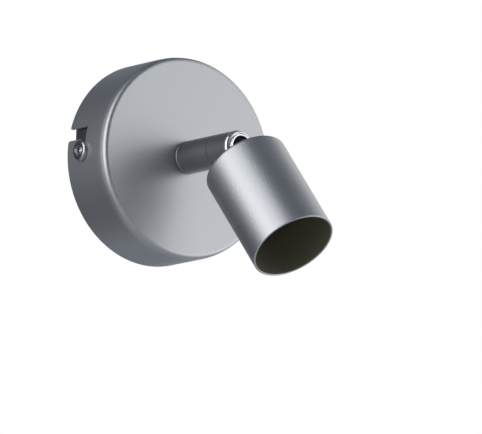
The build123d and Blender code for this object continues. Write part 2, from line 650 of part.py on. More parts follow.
SEAT_REAR = SPRING_SHELF + SPRING_RISE
SEAT_FRONT = JOINT_DEPTH - 3.4
SEAT_INNER_R = 3.1
seat_front_angle = acos((SEAT_FRONT - JOINT_DEPTH) / SEAT_R)
seat_rear_angle = acos(-sqrt(SEAT_R**2 - SEAT_INNER_R**2) / SEAT_R)
with BuildPart() as ball_seat:
    with BuildSketch(STEM_SECTION):
        with BuildLine():
            ThreePointArc(
                on_circle(SEAT_R, seat_front_angle),
                on_circle(SEAT_R, (seat_front_angle + seat_rear_angle) / 2),
                on_circle(SEAT_R, seat_rear_angle),
            )
            Polyline(
                on_circle(SEAT_R, seat_rear_angle),
                (SEAT_INNER_R, -SEAT_REAR),
                (SLEEVE_BORE_R - 0.05, -SEAT_REAR),
                (SLEEVE_BORE_R - 0.05, -SEAT_FRONT),
                on_circle(SEAT_R, seat_front_angle),
            )
        make_face()
    revolve(axis=STEM_AXIS)
ball_seat.part.label = "ball_seat"
export_step(ball_seat.part, "parts/ball_seat.step")

# ---------------------------------------------------------------- joint ball
# A blackened ball with a threaded neck. A pie-shaped slot lets the leads through at every tilt.
COLLAR_R = 4.6
COLLAR_THICK = 1.2
NECK_END = 14.0
NECK_BORE_R = 1.9
LEAD_SLOT_HALF = 1.9
LEAD_SLOT_REACH = BALL_R + 1

with BuildPart() as joint_ball:
    with BuildSketch(HEAD_SECTION) as ball_section:
        with BuildLine():
            neck_root = sqrt(BALL_R**2 - NECK_R**2)
            ThreePointArc((0, -BALL_R), (BALL_R, 0), (NECK_R, neck_root))
            Polyline(
                (NECK_R, neck_root),
                (NECK_R, HEAD_REAR - COLLAR_THICK),
                (COLLAR_R, HEAD_REAR - COLLAR_THICK),
                (COLLAR_R, HEAD_REAR),
                (NECK_R, HEAD_REAR),
                (NECK_R, NECK_END - 0.4),
                (NECK_R - 0.4, NECK_END),
                (0, NECK_END),
                (0, -BALL_R),
            )
        make_face()
    revolve(axis=HEAD_TURN)
    with BuildSketch(HEAD):
        Circle(NECK_BORE_R)
    extrude(amount=NECK_END, mode=Mode.SUBTRACT)
    # Square to the tilt axis, the slot spans from straight behind the neck to square to the neck.
    with BuildSketch(Plane(JOINT_CENTRE, x_dir=HEAD_SIDE, z_dir=TILT_AXIS * -1).offset(-LEAD_SLOT_HALF)):
        with BuildLine():
            Polyline(
                (-NECK_BORE_R, -LEAD_SLOT_REACH),
                (LEAD_SLOT_REACH, -LEAD_SLOT_REACH),
                (LEAD_SLOT_REACH, NECK_BORE_R),
                (-NECK_BORE_R, NECK_BORE_R),
                close=True,
            )
        make_face()
    extrude(amount=2 * LEAD_SLOT_HALF, mode=Mode.SUBTRACT)
joint_ball.part.label = "joint_ball"
export_step(joint_ball.part, "parts/joint_ball.step")

# ---------------------------------------------------------------- head tube
# Drawn from one blank: a plain tube with a closed, rounded rear end and an open mouth.
HEAD_EDGE_R = 1.5
HEAD_MOUTH = HEAD_REAR + HEAD_LENGTH
HEAD_FLOOR = HEAD_REAR + HEAD_WALL
HEAD_BORE_R = HEAD_R - HEAD_WALL

with BuildPart() as head_tube:
    with BuildSketch(HEAD_SECTION) as tube_section:
        with BuildLine():
            Polyline(
                (NECK_R + 0.1, HEAD_REAR),
                (HEAD_R, HEAD_REAR),
                (HEAD_R, HEAD_MOUTH),
                (HEAD_BORE_R, HEAD_MOUTH),
                (HEAD_BORE_R, HEAD_FLOOR),
                (NECK_R + 0.1, HEAD_FLOOR),
                close=True,
            )
        make_face()
        rear_corner = tube_section.vertices().sort_by_distance((HEAD_R, HEAD_REAR))[0]
        fillet(rear_corner, HEAD_EDGE_R)
        floor_corner = tube_section.vertices().sort_by_distance((HEAD_BORE_R, HEAD_FLOOR))[0]
        fillet(floor_corner, HEAD_EDGE_R - HEAD_WALL)
    revolve(axis=HEAD_TURN)
    mouth_face = head_tube.faces().sort_by(HEAD_TURN)[-1]
    fillet(mouth_face.edges(), 0.25)
head_tube.part.label = "head_tube"
export_step(head_tube.part, "parts/head_tube.step")

# ---------------------------------------------------------------- lampholder
# A ceramic body with two keyhole slots for the lamp's pins, and flats for the strap's legs.
HOLDER_R = 13.0
HOLDER_FLAT = 10.0
HOLDER_REAR = 19.4
HOLDER_FRONT = 32.2
PIN_SPACING = 10.0
PIN_HOLE_R = 2.75
PIN_SLOT_HALF = 1.6
PIN_TWIST = 32.0  # degrees that the lamp is turned to lock
PIN_DEPTH = 7.9
CONTACT_THICK = 0.6
HOLDER_DISH = 1.0
HOLDER_DISH_R = 7.9
CONTACT_OUT = HOLDER_FRONT - HOLDER_DISH - PIN_DEPTH - CONTACT_THICK
CONTACT_R = PIN_HOLE_R - 0.3
STRAP_SCREW_OUT = 24.0
STRAP_SCREW_R = 1.5
STRAP_SCREW_BITE = 3.5
STRAP_SIDES = (-1, 1)

with BuildPart() as lampholder:
    with BuildSketch(HEAD.offset(HOLDER_REAR)) as holder_outline:
        Circle(HOLDER_R)
        Rectangle(2 * HOLDER_R, 2 * HOLDER_FLAT, mode=Mode.INTERSECT)
    extrude(amount=HOLDER_FRONT - HOLDER_REAR)
    front_face = lampholder.faces().sort_by(HEAD_TURN)[-1]
    fillet(front_face.edges(), 0.8)
    with BuildSketch(HEAD.offset(HOLDER_FRONT)):
        Circle(HOLDER_DISH_R)
    extrude(amount=-HOLDER_DISH, mode=Mode.SUBTRACT)
    with BuildSketch(HEAD.offset(HOLDER_FRONT - HOLDER_DISH)):
        with PolarLocations(PIN_SPACING / 2, 2):
            Circle(PIN_HOLE_R)
        for start in (0, 180):
            SlotArc(CenterArc((0, 0), PIN_SPACING / 2, start, PIN_TWIST), 2 * PIN_SLOT_HALF)
    extrude(amount=-PIN_DEPTH, mode=Mode.SUBTRACT)
    with BuildSketch(HEAD.offset(CONTACT_OUT)):
        with PolarLocations(PIN_SPACING / 2, 2):
            Circle(CONTACT_R)
    extrude(amount=CONTACT_THICK, mode=Mode.SUBTRACT)
    with BuildSketch(HEAD.offset(HOLDER_REAR)):
        with PolarLocations(PIN_SPACING / 2, 2):
            Circle(LEAD_R + 0.1)
    extrude(amount=CONTACT_OUT - HOLDER_REAR, mode=Mode.SUBTRACT)
    for side in STRAP_SIDES:
        with BuildSketch(HEAD_SECTION.offset(side * HOLDER_FLAT)):
            with Locations((0, STRAP_SCREW_OUT)):
                Circle(STRAP_SCREW_R + RUNNING_GAP)
        extrude(amount=-side * STRAP_SCREW_BITE, mode=Mode.SUBTRACT)
lampholder.part.label = "lampholder"
export_step(lampholder.part, "parts/lampholder.step")

# Brass contact plates, sunk in the bottom of the pin holes.
with BuildPart() as lampholder_contacts:
    with BuildSketch(HEAD.offset(CONTACT_OUT)):
        with PolarLocations(PIN_SPACING / 2, 2):
            Circle(CONTACT_R)
    extrude(amount=CONTACT_THICK)
lampholder_contacts.part.label = "lampholder_contacts"
export_step(lampholder_contacts.part, "parts/lampholder_contacts.step")

# ---------------------------------------------------------------- holder strap
# A U-shaped steel strap clamped by the neck nut. Its legs reach along the ceramic's flats.
STRAP_HALF_WIDTH = 4.5
STRAP_THICK = 0.8
STRAP_LEG_END = 27.0
# Its outline is drawn in the plane square to the tilt axis: x across the flats, y out of the mouth.
STRAP_PLANE = Plane(JOINT_CENTRE, x_dir=HEAD_SIDE * -1, z_dir=TILT_AXIS)

with BuildPart() as holder_strap:
    with BuildSketch(STRAP_PLANE.offset(-STRAP_HALF_WIDTH)) as strap_outline:
        with BuildLine():
            outside = HOLDER_FLAT + STRAP_THICK
            Polyline(
                (-outside, STRAP_LEG_END),
                (-outside, HEAD_FLOOR),
                (outside, HEAD_FLOOR),
                (outside, STRAP_LEG_END),
                (HOLDER_FLAT, STRAP_LEG_END),
                (HOLDER_FLAT, HEAD_FLOOR + STRAP_THICK),
                (-HOLDER_FLAT, HEAD_FLOOR + STRAP_THICK),
                (-HOLDER_FLAT, STRAP_LEG_END),
                close=True,
            )
        make_face()
    extrude(amount=2 * STRAP_HALF_WIDTH)
    with BuildSketch(HEAD.offset(HEAD_FLOOR)):
        Circle(NECK_R + 0.1)
    extrude(amount=STRAP_THICK, mode=Mode.SUBTRACT)
    with BuildSketch(HEAD_SECTION):
        with Locations((0, STRAP_SCREW_OUT)):
            Circle(STRAP_SCREW_R + RUNNING_GAP)
    extrude(amount=15, both=True, mode=Mode.SUBTRACT)
holder_strap.part.label = "holder_strap"
export_step(holder_strap.part, "parts/holder_strap.step")

# Two slotted screws pass through the legs into the ceramic's flats.
STRAP_HEAD_R = 2.6
STRAP_HEAD_HEIGHT = 1.5

with BuildPart() as strap_screws:
    for side in STRAP_SIDES:
        leg_out = HEAD_SIDE * side * (HOLDER_FLAT + STRAP_THICK)
        leg_centre = JOINT_CENTRE + HEAD_AXIS * STRAP_SCREW_OUT + leg_out
        leg_face = Plane(leg_centre, x_dir=TILT_AXIS, z_dir=HEAD_SIDE * side)
        with BuildSketch(leg_face):
            Circle(STRAP_HEAD_R)
        extrude(amount=STRAP_HEAD_HEIGHT)
        with BuildSketch(leg_face.offset(STRAP_HEAD_HEIGHT)):
            Rectangle(2 * STRAP_HEAD_R + 1, 0.7)
        extrude(amount=-0.8, mode=Mode.SUBTRACT)
        with BuildSketch(leg_face):
            Circle(STRAP_SCREW_R)
        extrude(amount=-STRAP_THICK - STRAP_SCREW_BITE + 0.3)
strap_screws.part.label = "strap_screws"
export_step(strap_screws.part, "parts/strap_screws.step")

# ---------------------------------------------------------------- neck nut and washer
NECK_NUT_SEAT = HEAD_FLOOR + STRAP_THICK
NECK_WASHER_THICK = 0.5
NECK_NUT_HEIGHT = 2.4
NECK_NUT_ACROSS = 10.0
NECK_WASHER_R = 5.2

with BuildPart() as neck_washer:
    with BuildSketch(HEAD.offset(NECK_NUT_SEAT)):
        Circle(NECK_WASHER_R)
        with PolarLocations(NECK_WASHER_R + 0.2, 10):
            Rectangle(1.6, 0.9)
        Circle(NECK_R + RUNNING_GAP, mode=Mode.SUBTRACT)
    extrude(amount=NECK_WASHER_THICK)
neck_washer.part.label = "neck_washer"
export_step(neck_washer.part, "parts/neck_washer.step")

with BuildPart() as neck_nut:
    with BuildSketch(HEAD.offset(NECK_NUT_SEAT + NECK_WASHER_THICK)):
        RegularPolygon(NECK_NUT_ACROSS / 2, 6, major_radius=False)
        Circle(NECK_R + RUNNING_GAP, mode=Mode.SUBTRACT)
    extrude(amount=NECK_NUT_HEIGHT)
neck_nut.part.label = "neck_nut"
export_step(neck_nut.part, "parts/neck_nut.step")

# ---------------------------------------------------------------- leads inside the head
# Two heat-proof leads rise out of the neck's bore and spread to the ceramic's rear holes.
HEAD_LEAD_OUT = LEAD_R + 0.05
HEAD_LEAD_BEND = 16.4
HEAD_LEAD_STRAIGHT = 18.2
HEAD_LEAD_END = CONTACT_OUT

with BuildPart() as head_live_lead:
    with BuildLine(HEAD) as head_live_route:
        FilletPolyline(
            (HEAD_LEAD_OUT, 0, 2.0),
            (HEAD_LEAD_OUT, 0, HEAD_LEAD_BEND),
            (PIN_SPACING / 2, 0, HEAD_LEAD_STRAIGHT),
            (PIN_SPACING / 2, 0, HEAD_LEAD_END),
            radius=1.2,
        )
    with BuildSketch(Plane(head_live_route.line @ 0, z_dir=head_live_route.line % 0)):
        Circle(LEAD_R)
    sweep(path=head_live_route.wires()[0])
head_live_lead.part.label = "head_live_lead"
export_step(head_live_lead.part, "parts/head_live_lead.step")

with BuildPart() as head_neutral_lead:
    with BuildLine(HEAD) as head_neutral_route:
        FilletPolyline(
            (-HEAD_LEAD_OUT, 0, 2.0),
            (-HEAD_LEAD_OUT, 0, HEAD_LEAD_BEND),
            (-PIN_SPACING / 2, 0, HEAD_LEAD_STRAIGHT),
            (-PIN_SPACING / 2, 0, HEAD_LEAD_END),
            radius=1.2,
        )
    with BuildSketch(Plane(head_neutral_route.line @ 0, z_dir=head_neutral_route.line % 0)):
        Circle(LEAD_R)
    sweep(path=head_neutral_route.wires()[0])
head_neutral_lead.part.label = "head_neutral_lead"
export_step(head_neutral_lead.part, "parts/head_neutral_lead.step")
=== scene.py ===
import json
from math import acos, asin, cos, degrees, hypot, pi, radians, sin

import bmesh
import bpy
from mathutils import Matrix, Vector


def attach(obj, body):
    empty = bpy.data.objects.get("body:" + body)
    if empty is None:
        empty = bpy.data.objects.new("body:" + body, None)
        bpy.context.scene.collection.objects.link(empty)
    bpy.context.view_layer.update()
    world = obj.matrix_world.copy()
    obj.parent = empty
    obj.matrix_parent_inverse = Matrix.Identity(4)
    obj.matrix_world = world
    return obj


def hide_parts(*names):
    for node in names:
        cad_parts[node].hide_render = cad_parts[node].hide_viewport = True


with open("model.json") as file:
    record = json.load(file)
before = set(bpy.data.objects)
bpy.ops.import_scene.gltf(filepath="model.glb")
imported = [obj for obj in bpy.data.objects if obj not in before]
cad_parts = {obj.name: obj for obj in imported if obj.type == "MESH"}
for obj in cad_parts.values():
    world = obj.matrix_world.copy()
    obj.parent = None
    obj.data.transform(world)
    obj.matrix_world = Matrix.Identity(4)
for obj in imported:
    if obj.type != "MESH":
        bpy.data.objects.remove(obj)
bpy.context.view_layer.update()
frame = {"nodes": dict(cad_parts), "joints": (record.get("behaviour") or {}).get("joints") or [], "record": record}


# ---------------------------------------------------------------- wall bracket and its terminals
# A strip of zinc-plated steel, blanked, bent up into two ears and screwed to the wall.
# Its earth screw, washers and clamp screws are plated too, in bright zinc; the bracket's zinc is a darker copy,
# painted shade for its place deep in the canopy.

class Field:
    """What a node gives out. Arithmetic on it adds Math nodes beside that node."""

    def __init__(self, graph, socket):
        self.graph = graph
        self.socket = socket

    def _math(self, operation, first, second):
        return self.graph.node("Math", {"operation": operation}, first, second)

    def __add__(self, other):
        return self._math("ADD", self, other)

    def __sub__(self, other):
        return self._math("SUBTRACT", self, other)

    def __rsub__(self, other):
        return self._math("SUBTRACT", other, self)

    def __mul__(self, other):
        return self._math("MULTIPLY", self, other)

    __radd__ = __add__
    __rmul__ = __mul__


class Graph:
    """The nodes of a material or of the surround."""

    def __init__(self, tree):
        self.tree = tree

    def node(self, kind, settings, *values, output=0, **named):
        """Adds a node, sets it up, feeds its sockets, and gives back the output asked for."""
        made = self.tree.nodes.new("ShaderNode" + kind)
        for setting, value in settings.items():
            setattr(made, setting, value)
        for key, value in [*enumerate(values), *named.items()]:
            if isinstance(value, Field):
                self.tree.links.new(value.socket, made.inputs[key])
            else:
                made.inputs[key].default_value = value
        return Field(self, made.outputs[output])


class Finish(Graph):
    """A material, with the nodes that feed its one shader."""

    def __init__(self, name, colour, roughness, metallic=0.0, specular=0.5):
        self.material = bpy.data.materials.new(name)
        self.material.use_nodes = True
        self.material.diffuse_color = (*colour, 1)
        super().__init__(self.material.node_tree)
        self.shader = self.tree.nodes["Principled BSDF"]
        self.fix("Base Color", (*colour, 1))
        self.fix("Roughness", roughness)
        self.fix("Metallic", metallic)
        self.fix("Specular IOR Level", specular)

    def fix(self, socket, value):
        """Sets one of the shader's inputs to the same value all over."""
        self.shader.inputs[socket].default_value = value

    def drive(self, socket, field):
        """Lets a field set one of the shader's inputs."""
        self.tree.links.new(field.socket, self.shader.inputs[socket])

    def place(self):
        """Where a point of the piece is, in metres, the same in every pose."""
        return self.node("TexCoord", {}, output="Object")

    def noise(self, per_metre, detail=2.0, stretch=None):
        """Soft noise from 0 to 1, with a number of patches per metre."""
        where = self.place()
        if stretch:
            where = self.node("VectorMath", {"operation": "MULTIPLY"}, where, stretch)
        return self.node("TexNoise", {}, Vector=where, Scale=per_metre, Detail=detail)

    def mottle(self, field, low, high):
        """Lets the colour run from low to high as the field goes from 0 to 1."""
        mix = self.node("Mix", {"data_type": "RGBA"}, output=2, Factor=field, A=(*low, 1), B=(*high, 1))
        self.drive("Base Color", mix)

    def vary_roughness(self, field, middle, swing):
        """Lets the roughness run from half a swing below its middle to half a swing above."""
        self.drive("Roughness", middle + (field - 0.5) * swing)

    def bumps(self, field, height):
        """Raises the surface by the field, with its height in metres."""
        bump = self.node("Bump", {}, Height=field, Distance=height, Strength=1.0, output="Normal")
        self.drive("Normal", bump)


def zinc_plate(name, dull, bright, roughness):
    """Zinc plate: slightly blue, with cloudy patches and fine rolling marks."""
    finish = Finish(name, bright, roughness, metallic=1.0)
    clouds = finish.noise(per_metre=260, detail=4)
    finish.mottle(clouds, dull, bright)
    finish.vary_roughness(clouds, middle=roughness, swing=0.2)
    rolling_marks = finish.noise(per_metre=900, stretch=(1, 12, 12))
    finish.bumps(rolling_marks, height=4e-6)
    return finish.material


def paint(piece, material):
    piece.data.materials.clear()
    piece.data.materials.append(material)


def dress(material, *names):
    """Gives CAD nodes that keep their own shape a finish."""
    for name in names:
        paint(frame["nodes"][name], material)


zinc = zinc_plate("bright_zinc", (0.5, 0.52, 0.55), (0.72, 0.73, 0.74), roughness=0.34)
# A darker copy of the zinc plate for the bracket, painted shade for the recess inside the canopy.
shaded_zinc = zinc_plate("shaded_zinc", (0.31, 0.32, 0.334), (0.39, 0.4, 0.415), roughness=0.16)
dress(shaded_zinc, "wall_bracket")
dress(
    zinc,
    "earth_washer", "earth_screw", "terminal_screws", "block_screw",
    "stem_lock_washer", "earth_tag", "stem_nut",
)


# ---------------------------------------------------------------- terminal block, bushes and leads
# The block, the wire bush and the ball's seat are moulded in natural nylon, milky and slightly glossy.
# The terminals are brass. The leads are copper in coloured sleeving: brown, blue, and green with a
# yellow stripe for earth.

STRIPE_HALF_PITCH, STRIPE_START = 0.0011, 0.0006


def nylon():
    finish = Finish("natural_nylon", (0.82, 0.81, 0.76), roughness=0.42, specular=0.45)
    finish.mottle(finish.noise(per_metre=180, detail=3), (0.76, 0.75, 0.69), (0.88, 0.87, 0.83))
    finish.bumps(finish.noise(per_metre=1500), height=6e-6)
    return finish.material


def sleeving(name, colour, stripe=None):
    """Extruded sleeving, with a stripe along it where one is given."""
    finish = Finish(name, colour, roughness=0.38)
    if stripe:
        across = finish.node("SeparateXYZ", {}, finish.place(), output="X")
        band = finish.node("Math", {"operation": "PINGPONG"}, across, STRIPE_HALF_PITCH)
        striped = finish.node("Math", {"operation": "GREATER_THAN"}, band, STRIPE_START)
        finish.mottle(striped, colour, stripe)
    else:
        dull = tuple(0.8 * part for part in colour)
        finish.mottle(finish.noise(per_metre=400), dull, colour)
    finish.bumps(finish.noise(per_metre=1200), height=8e-6)
    return finish.material


def brass():
    finish = Finish("brass", (0.72, 0.5, 0.22), roughness=0.3, metallic=1.0)
    tarnish = finish.noise(per_metre=500, detail=4)
    finish.mottle(tarnish, (0.55, 0.38, 0.17), (0.8, 0.6, 0.3))
    finish.vary_roughness(tarnish, middle=0.3, swing=0.2)
    return finish.material


dress(nylon(), "terminal_block", "wire_bush", "ball_seat")
dress(brass(), "terminal_clamps", "lampholder_contacts")
dress(sleeving("brown_sleeve", (0.19, 0.085, 0.045)), "live_lead")
dress(sleeving("blue_sleeve", (0.05, 0.16, 0.5)), "neutral_lead")
dress(sleeving("earth_sleeve", (0.12, 0.4, 0.08), stripe=(0.8, 0.68, 0.08)), "earth_lead")


# ---------------------------------------------------------------- canopy
# A cup drawn from sheet steel with a rounded front edge, sprayed in a satin metallic grey lacquer.
# Each side has a J-shaped slot, blanked before spraying, that hooks over a screw in the bracket's ear.

MM = 0.001
SHARP_EDGE = radians(32)


def metallic_lacquer(name, roughness, shade=1.0, grain_height=1.3e-5):
    """Grey lacquer full of fine aluminium flake, with a spray grain of a given height in metres."""
    dark, middle, pale = (
        tuple(shade * part for part in colour)
        for colour in ((0.34, 0.353, 0.373), (0.42, 0.433, 0.454), (0.5, 0.513, 0.532))
    )
    finish = Finish(name, middle, roughness, metallic=1.0)
    flake = finish.noise(per_metre=2000)
    finish.mottle(flake, dark, pale)
    finish.vary_roughness(flake, middle=roughness, swing=0.12)
    finish.bumps(finish.noise(per_metre=1750, detail=0), grain_height)
    return finish.material


def axes(origin, along, across):
    """A frame at a point in metres: z runs along, x runs across."""
    z = Vector(along).normalized()
    x = Vector(across)
    x = (x - z * x.dot(z)).normalized()
    turn = Matrix((x, z.cross(x), z)).transposed().to_4x4()
    return Matrix.Translation(origin) @ turn


def arc(centre, radius, start, end, steps=10):
    """Points of an arc, in the plane of radius and distance along the axis. Angles in degrees."""
    angles = [radians(start + (end - start) * step / steps) for step in range(steps + 1)]
    return [(centre[0] + radius * cos(a), centre[1] + radius * sin(a)) for a in angles]


def with_supports(outline, long_run=3.2, inset=0.3):
    """Adds a point just inside each end of an outline's long runs, so that they shade straight."""
    rows = []
    for point, (r, h) in enumerate(outline):
        after_r, after_h = outline[(point + 1) % len(outline)]
        rows.append((r, h))
        run = hypot(after_r - r, after_h - h)
        if run > long_run:
            for share in (inset / run, 1 - inset / run):
                rows.append((r + (after_r - r) * share, h + (after_h - h) * share))
    return rows


def turned(name, outline, place, segments):
    """A closed outline of (radius, distance along) in millimetres, turned about the frame's z."""
    outline = with_supports(outline)
    shape = bmesh.new()
    rings = []
    for step in range(segments):
        angle = 2 * pi * (step + 0.5) / segments
        rings.append([
            shape.verts.new(place @ Vector((r * cos(angle) * MM, r * sin(angle) * MM, h * MM)))
            for r, h in outline
        ])
    for step in range(segments):
        ring, following = rings[step], rings[(step + 1) % segments]
        for point in range(len(outline)):
            after = (point + 1) % len(outline)
            if outline[point][0] or outline[after][0]:
                shape.faces.new((ring[point], ring[after], following[after], following[point]))
    return solid(name, shape)


def solid(name, shape):
    """Closes up a mesh, makes it face outwards and smooths it between its sharp edges."""
    bmesh.ops.remove_doubles(shape, verts=shape.verts, dist=1e-7)
    bmesh.ops.dissolve_degenerate(shape, edges=shape.edges, dist=1e-8)
    bmesh.ops.recalc_face_normals(shape, faces=shape.faces)
    mesh = bpy.data.meshes.new(name)
    shape.to_mesh(mesh)
    shape.free()
    mesh.shade_smooth()
    mesh.set_sharp_from_angle(angle=SHARP_EDGE)
    piece = bpy.data.objects.new(name, mesh)
    bpy.context.scene.collection.objects.link(piece)
    return piece


def prism(name, outline, place, low, high):
    """A closed outline in the frame's x and y, in millimetres, drawn out along its z from low to high."""
    shape = bmesh.new()
    bottom = [shape.verts.new(place @ Vector((x * MM, y * MM, low * MM))) for x, y in outline]
    top = [shape.verts.new(place @ Vector((x * MM, y * MM, high * MM))) for x, y in outline]
    shape.faces.new(bottom)
    shape.faces.new(top)
    for index in range(len(outline)):
        after = (index + 1) % len(outline)
        shape.faces.new((bottom[index], bottom[after], top[after], top[index]))
    return solid(name, shape)


def apply_modifiers(piece):
    """Turns a piece's modifiers into its mesh."""
    graph = bpy.context.evaluated_depsgraph_get()
    made = bpy.data.meshes.new_from_object(piece.evaluated_get(graph))
    piece.modifiers.clear()
    piece.data = made
    made.set_sharp_from_angle(angle=SHARP_EDGE)


def cut(piece, *tools):
    """Takes the tools' shapes out of a piece."""
    for tool in tools:
        step = piece.modifiers.new("cut", "BOOLEAN")
        step.operation = "DIFFERENCE"
        step.solver = "EXACT"
        step.object = tool
    apply_modifiers(piece)
    for tool in tools:
        bpy.data.objects.remove(tool)


def ease(piece, width):
    """Breaks a piece's sharp edges, by a width in millimetres."""
    step = piece.modifiers.new("ease", "BEVEL")
    step.width = width * MM
    step.segments = 2
    step.limit_method = "ANGLE"
    step.angle_limit = radians(40)
    step.harden_normals = True
    apply_modifiers(piece)


WALL_FRAME = axes((0, 0, 0), (0, -1, 0), (1, 0, 0))
CANOPY_R, CANOPY_DEPTH, CANOPY_SHEET = 40.0, 25.0, 0.9
WALL_TOP, RING_STEP = 21, 3
STEM_HOLE_R = 5.1
# Short of the front bend the wall leans inwards: how far in it is, and at what depth.
LEAN = ((0.06, 22.2), (0.16, 22.8))
BEND_R, BEND_IN, BEND_START, INNER_BEND_R = 1.8, 0.25, 12, 1.9

inner_r = CANOPY_R - CANOPY_SHEET
inner_depth = CANOPY_DEPTH - CANOPY_SHEET
bend_centre = (CANOPY_R - BEND_IN - BEND_R, CANOPY_DEPTH - BEND_R)
canopy = turned(
    "canopy_shell",
    [
        *((CANOPY_R, depth) for depth in range(0, WALL_TOP + 1, RING_STEP)),
        *((CANOPY_R - inwards, depth) for inwards, depth in LEAN),
        *arc(bend_centre, BEND_R, BEND_START, 90, steps=14),
        (STEM_HOLE_R, CANOPY_DEPTH),
        (STEM_HOLE_R, inner_depth),
        *arc((inner_r - INNER_BEND_R, inner_depth - INNER_BEND_R), INNER_BEND_R, 90, 0),
        *((inner_r, depth) for depth in range(WALL_TOP, -1, -RING_STEP)),
    ],
    WALL_FRAME,
    segments=256,
)

# A slot runs in from the open rim, to one side of the screw, and then across to it.
# SLOT_LOW and SLOT_HIGH are measured from the screw's axis.
SCREW_DEPTH, SLOT_HALF = 9.6, 2.1
SLOT_LOW, SLOT_HIGH, SLOT_LIP, PAST_RIM = 4.8, 9.5, 1.1, -2
slot_outline = [
    (PAST_RIM, SLOT_LOW - SLOT_LIP),
    *arc((SLOT_LIP, SLOT_LOW - SLOT_LIP), SLOT_LIP, 180, 90, steps=8),
    (SCREW_DEPTH - SLOT_HALF, SLOT_LOW),
    *arc((SCREW_DEPTH, 0), SLOT_HALF, 180, 360, steps=16),
    (SCREW_DEPTH + SLOT_HALF, SLOT_HIGH),
    *arc((SLOT_LIP, SLOT_HIGH + SLOT_LIP), SLOT_LIP, 270, 180, steps=8),
    (PAST_RIM, SLOT_HIGH + SLOT_LIP),
]
for side in (-1, 1):
    side_frame = axes((side * CANOPY_R * MM, 0, 0), (side, 0, 0), (0, -1, 0))
    cut(canopy, prism("slot_tool", slot_outline, side_frame, low=-5, high=5))
ease(canopy, width=0.12)
paint(canopy, metallic_lacquer("canopy_lacquer", roughness=0.42))
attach(canopy, "base")
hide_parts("canopy")


# ---------------------------------------------------------------- canopy screws
# Two nickel-plated pan-head screws, cold-headed with a dish and a cross recess in the dish's raised middle.
# Each goes through a slot of the canopy into an ear of the bracket and clamps the canopy's side.

def nickel_plate():
    finish = Finish("nickel_plate", (0.38, 0.38, 0.39), roughness=0.2, metallic=1.0)
    wear = finish.noise(per_metre=700, detail=4)
    finish.mottle(wear, (0.3, 0.3, 0.31), (0.44, 0.44, 0.45))
    finish.vary_roughness(wear, middle=0.18, swing=0.12)
    return finish.material


def cross(arm, half):
    """The outline of a cross: three corners of one arm, turned by a quarter four times."""
    corners = ((arm, -half), (arm, half), (half, half))
    quarters = ((1, 0), (0, 1), (-1, 0), (0, -1))
    return [(x * c - y * s, x * s + y * c) for c, s in quarters for x, y in corners]


SHANK_R, SHANK_LENGTH = 2.0, 9.0
PAN_R, PAN_HEIGHT, PAN_ROUND = 4.15, 1.7, 1.1
DISH_TOP_R, DISH_FLOOR_R, DISH_DEPTH = 2.55, 2.4, 0.7
RAISED_R, RAISED_DROP = 1.9, 0.1
CROSS_ARM, CROSS_HALF, CROSS_FLOOR, CROSS_TURN = 1.2, 0.3, 0.8, 20

nickel = nickel_plate()
for side, name in ((-1, "canopy_screw_left"), (1, "canopy_screw_right")):
    seat = axes((side * CANOPY_R * MM, -SCREW_DEPTH * MM, 0), (side, 0, 0), (0, -1, 0))
    screw = turned(
        name,
        [
            (0, -SHANK_LENGTH),
            (SHANK_R, -SHANK_LENGTH),
            (SHANK_R, 0),
            (PAN_R, 0),
            *arc((PAN_R - PAN_ROUND, PAN_HEIGHT - PAN_ROUND), PAN_ROUND, 0, 90),
            (DISH_TOP_R, PAN_HEIGHT),
            (DISH_FLOOR_R, PAN_HEIGHT - DISH_DEPTH),
            (RAISED_R, PAN_HEIGHT - DISH_DEPTH),
            *arc((0, PAN_HEIGHT - RAISED_DROP - RAISED_R), RAISED_R, 40, 90),
        ],
        seat,
        segments=64,
    )
    recess = seat @ Matrix.Rotation(radians(CROSS_TURN), 4, "Z")
    cut(screw, prism("cross_tool", cross(CROSS_ARM, CROSS_HALF), recess, low=CROSS_FLOOR, high=5))
    paint(screw, nickel)
    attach(screw, "base")
    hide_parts("canopy_screws")


# ---------------------------------------------------------------- lower stem
# A turned steel tube with a threaded tail and a journal, in the canopy's lacquer darkened to seven tenths, a
# painted shade.
# It is nutted to the canopy, so a hair of shadow shows round its chamfered foot, with a fine groove above.

STEM_R, SEAM, SEAM_CHAMFER, LOWER_SEAM_RISE = 6.5, 45.7, 0.12, 0.06
# The foot's outline: how far in from the stem's side, and how far from the canopy's face.
FOOT = ((0.35, 0), (0, 0.3), (0, 1.0), (0.3, 1.3), (0, 1.42))
TAIL, TAIL_R, TAIL_BORE, TAIL_CHAMFER = 13.0, 4.95, 3.4, 0.5
THREAD_START, THREAD_END, THREAD_PITCH, THREAD_DEPTH, THREAD_TURNS = 0.8, 10.0, 1.0, 0.45, 9
JOURNAL_R, JOURNAL_BORE, JOURNAL_END = 4.2, 2.7, 50.2
BORE_STEP_START, BORE_STEP_END = 5, 4
CLIP_GROOVE, CLIP_GROOVE_R, CLIP = 48.6, 3.7, 0.6

